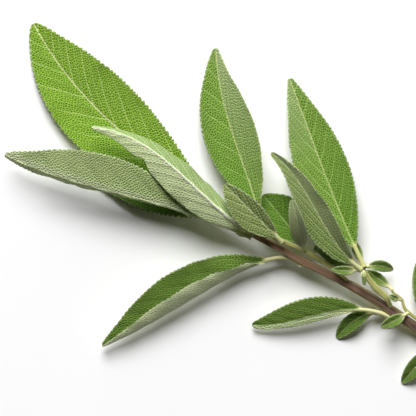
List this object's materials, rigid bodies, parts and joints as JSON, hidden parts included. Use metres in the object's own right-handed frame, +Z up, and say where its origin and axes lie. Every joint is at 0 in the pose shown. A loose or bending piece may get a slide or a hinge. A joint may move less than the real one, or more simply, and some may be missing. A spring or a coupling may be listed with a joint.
{
  "type": "sage sprig",
  "caption": "Cut sprig of common sage lying down, with a square woody stem, side shoots and pebbly grey-green leaves on long stalks.",
  "frame": {"origin": "on the surface that the sprig lies on, under the middle of its bounding box", "axes": "+Z up off the surface, +X along the sprig's longest side towards the cut end, +Y across it"},
  "size_m": [0.1294, 0.1008, 0.0184],
  "materials": {
    "leaf_green": "matte",
    "leaf_grey": "matte",
    "stem_bark": "satin",
    "shoot_bark": "satin"
  },
  "bodies": {
    "root": {"main_stem": "stem_bark", "upper_shoot_stem": "shoot_bark", "middle_shoot_stem": "shoot_bark", "lower_shoot_stem": "shoot_bark", "largest_leaf": "leaf_green", "long_leaf": "leaf_grey", "turned_leaf": "leaf_grey", "shaded_leaf": "leaf_green", "boat_leaf": "leaf_green", "side_leaf": "leaf_green", "small_side_leaf": "leaf_green", "low_leaf": "leaf_green", "edge_leaf": "leaf_green", "tall_leaf": "leaf_green", "grey_leaf": "leaf_grey", "broad_leaf": "leaf_green", "narrow_leaf": "leaf_grey", "upper_shoot_bud": "leaf_green", "curled_leaf": "leaf_grey", "right_leaf": "leaf_green", "hidden_leaf": "leaf_green", "dark_leaf": "leaf_green", "first_small_leaf": "leaf_green", "second_small_leaf": "leaf_green", "middle_shoot_bud": "leaf_green", "third_small_leaf": "leaf_green", "fourth_small_leaf": "leaf_green", "fifth_small_leaf": "leaf_green", "tip_bud": "leaf_green", "tip_bract": "leaf_green"}
  },
  "joints": []
}
